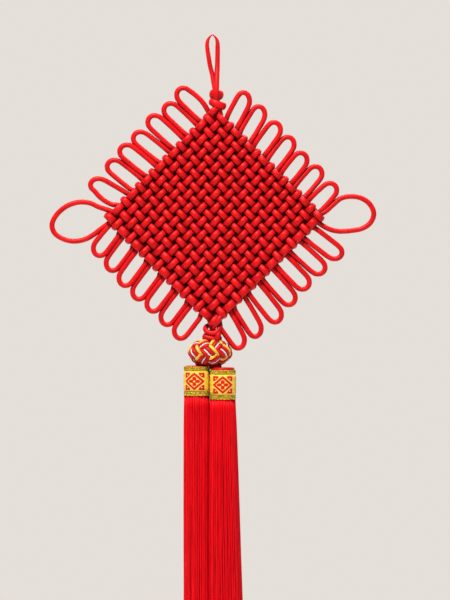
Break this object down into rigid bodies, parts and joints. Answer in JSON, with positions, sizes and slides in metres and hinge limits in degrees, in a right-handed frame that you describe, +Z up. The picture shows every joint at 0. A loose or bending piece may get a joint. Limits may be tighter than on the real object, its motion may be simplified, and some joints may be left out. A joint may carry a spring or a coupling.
{
  "type": "chinese knot tassel",
  "caption": "hanging ornament: a red cord woven into a diamond with loops along its sides, a hanging loop above and two long silk tassels below",
  "frame": {"origin": "the top of the hanging loop's inside, where a nail or a hook carries the piece", "axes": "+Z up along the hanging length, the front of the woven diamond faces -Y, +X to the right seen from the front"},
  "size_m": [0.301, 0.0342, 0.7023],
  "materials": {
    "satin_cord": "red satin cord with a soft gloss",
    "ball_cord": "red satin cord laid with yellow and white cords",
    "silk": "combed red silk threads",
    "brocade": "yellow satin brocade with red motifs",
    "gold_braid": "narrow metallic gold braid"
  },
  "bodies": {
    "root": {"hanging_loop": "satin_cord", "top_knot": "satin_cord", "knot_body": "satin_cord", "lower_knot": "satin_cord", "ball_knot": "ball_cord", "tassel_left": "silk", "tassel_right": "silk", "label_left": "brocade", "label_right": "brocade", "braid_left_upper": "gold_braid", "braid_left_lower": "gold_braid", "braid_right_upper": "gold_braid", "braid_right_lower": "gold_braid"}
  },
  "joints": []
}
